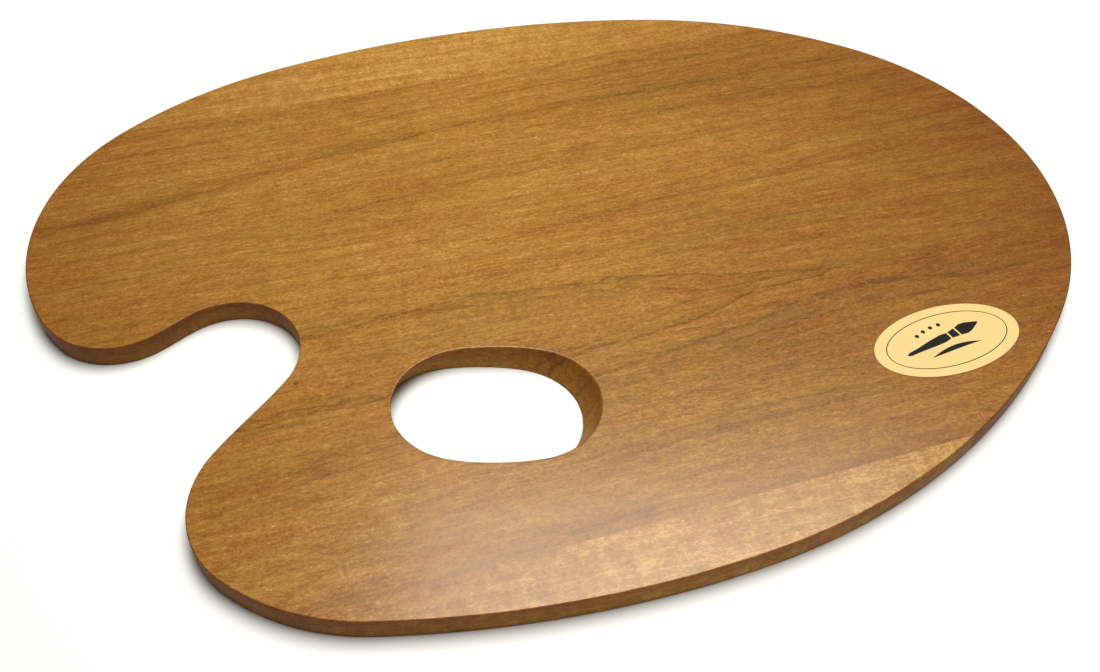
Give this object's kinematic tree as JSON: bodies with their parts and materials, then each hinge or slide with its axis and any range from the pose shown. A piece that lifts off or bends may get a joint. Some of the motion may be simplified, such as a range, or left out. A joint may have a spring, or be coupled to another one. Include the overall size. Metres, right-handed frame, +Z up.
{
  "type": "mixing palette",
  "caption": "Oval wooden painter's palette, edge-glued and satin-lacquered, with a slanted thumb hole, a finger notch and an oval sticker",
  "frame": {"origin": "on the underside, under the middle of the board's bounding box", "axes": "+X along the grain, from the lobes to the round end; +Y across the grain, away from the thumb hole; +Z up, out of the paint face"},
  "size_m": [0.32, 0.244, 0.0071],
  "materials": {
    "middle_wood": "satin-lacquered cherry, flat-sawn, with a cathedral figure",
    "back_wood": "satin-lacquered cherry, straight-grained and mottled",
    "front_wood": "satin-lacquered cherry, straight-grained, a shade lighter and pinker",
    "label_paper": "coated pale-gold paper with a thin dark ring and a plain motif"
  },
  "bodies": {
    "root": {"middle_board": "middle_wood", "back_stave": "back_wood", "front_stave": "front_wood", "label": "label_paper"}
  },
  "joints": []
}
